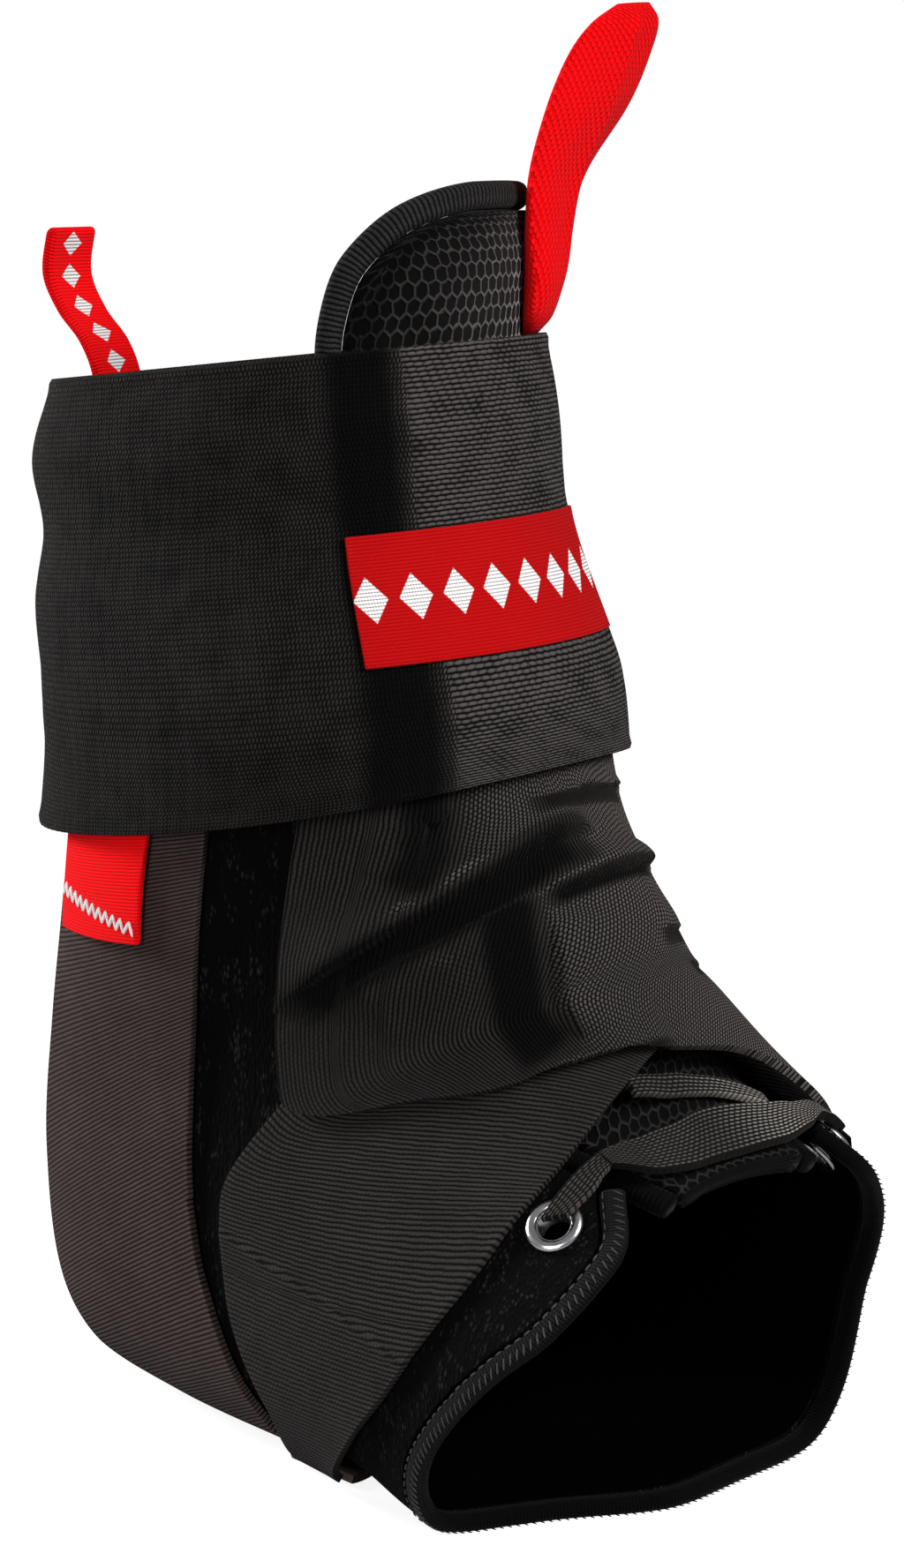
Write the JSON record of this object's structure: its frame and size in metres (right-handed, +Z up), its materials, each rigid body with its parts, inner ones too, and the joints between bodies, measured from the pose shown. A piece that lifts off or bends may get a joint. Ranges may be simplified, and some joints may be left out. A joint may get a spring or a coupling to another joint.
{
  "type": "ankle brace",
  "caption": "Strap-up ankle brace in its worn shape: open-front bootie, padded tongue, crossed heel straps, wrap over the instep and a wide elastic cuff.",
  "frame": {"origin": "on the floor, under the middle of the brace's outline", "axes": "+X towards the toes, +Y towards the inner side of the foot, +Z up along the leg"},
  "size_m": [0.162, 0.1048, 0.262],
  "materials": {
    "loop_pile": "black brushed loop pile",
    "binding": "black woven binding tape, stitched",
    "air_mesh": "black air mesh with hexagonal openings",
    "tongue_edge": "dark grey fine twill tape",
    "red_mesh": "bright red padded mesh",
    "red_webbing": "bright red woven webbing",
    "cuff_elastic": "black ribbed knitted elastic",
    "label": "red woven label, no lettering",
    "heel_webbing": "brownish black ribbed grosgrain",
    "strap_twill": "black twill",
    "wrap_twill": "dark grey twill",
    "lace_elastic": "dark grey ribbed elastic",
    "eyelet_metal": "polished nickel"
  },
  "bodies": {
    "root": {"brace_body": "loop_pile", "toe_binding": "binding", "tongue": "air_mesh", "tongue_binding": "tongue_edge", "tongue_pull_tab": "red_mesh", "rear_pull_tab": "red_webbing", "upper_cuff": "cuff_elastic", "cuff_label": "label", "outer_heel_strap": "heel_webbing", "inner_heel_strap": "heel_webbing", "cross_strap": "strap_twill", "ankle_wrap": "wrap_twill", "side_tag": "red_webbing", "instep_elastic": "lace_elastic", "instep_elastic_upper": "lace_elastic", "outer_lace_end": "lace_elastic", "inner_lace_end": "lace_elastic", "outer_eyelet": "eyelet_metal", "inner_eyelet": "eyelet_metal"}
  },
  "joints": []
}
